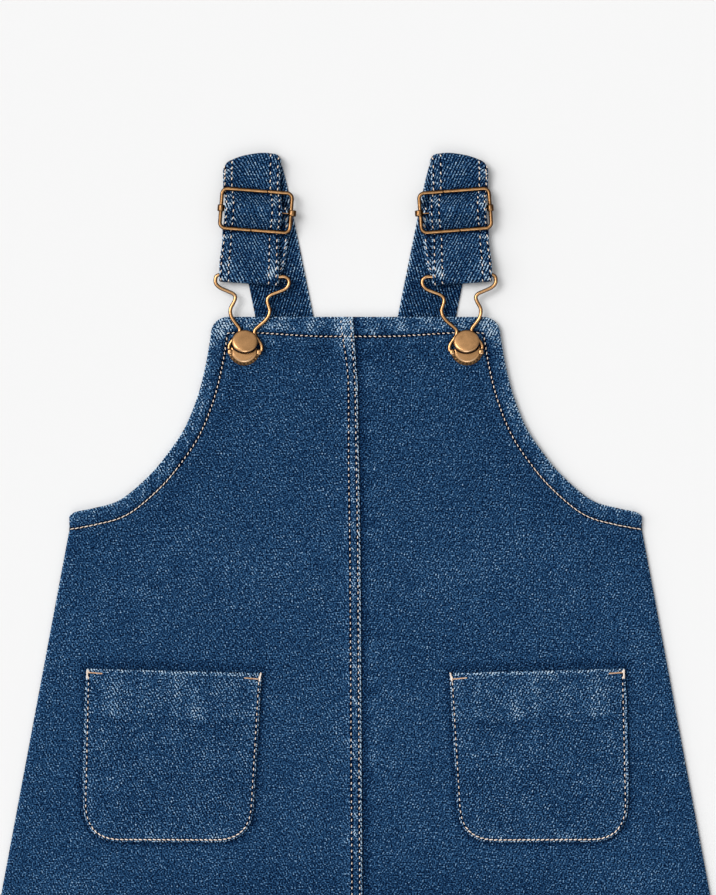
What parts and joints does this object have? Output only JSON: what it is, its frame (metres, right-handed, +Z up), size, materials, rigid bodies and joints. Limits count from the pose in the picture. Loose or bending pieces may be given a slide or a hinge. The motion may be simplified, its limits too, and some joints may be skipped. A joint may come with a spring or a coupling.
{
  "type": "pinafore dress",
  "caption": "Child's A-line denim pinafore dress with bib, dungaree straps, wire clips and patch pockets, laid flat with its front up.",
  "frame": {"origin": "middle of the laid-out dress, on the surface that it lies on", "axes": "+Y from the hem up to the straps, +Z up out of the surface, +X towards the wearer's left"},
  "size_m": [0.41, 0.531, 0.0092],
  "materials": {
    "denim": "matte",
    "thread": "matte",
    "brass": "satin"
  },
  "bodies": {
    "root": {"back_panel": "denim", "front_panel_left": "denim", "front_panel_right": "denim", "pocket_left": "denim", "pocket_right": "denim", "strap_left": "denim", "strap_right": "denim", "slider_frame_left": "brass", "slider_frame_right": "brass", "slider_bar_left": "brass", "slider_bar_right": "brass", "clip_wire_left": "brass", "clip_wire_right": "brass", "clip_plate_left": "brass", "clip_plate_right": "brass", "button_left": "brass", "button_right": "brass"}
  },
  "joints": []
}
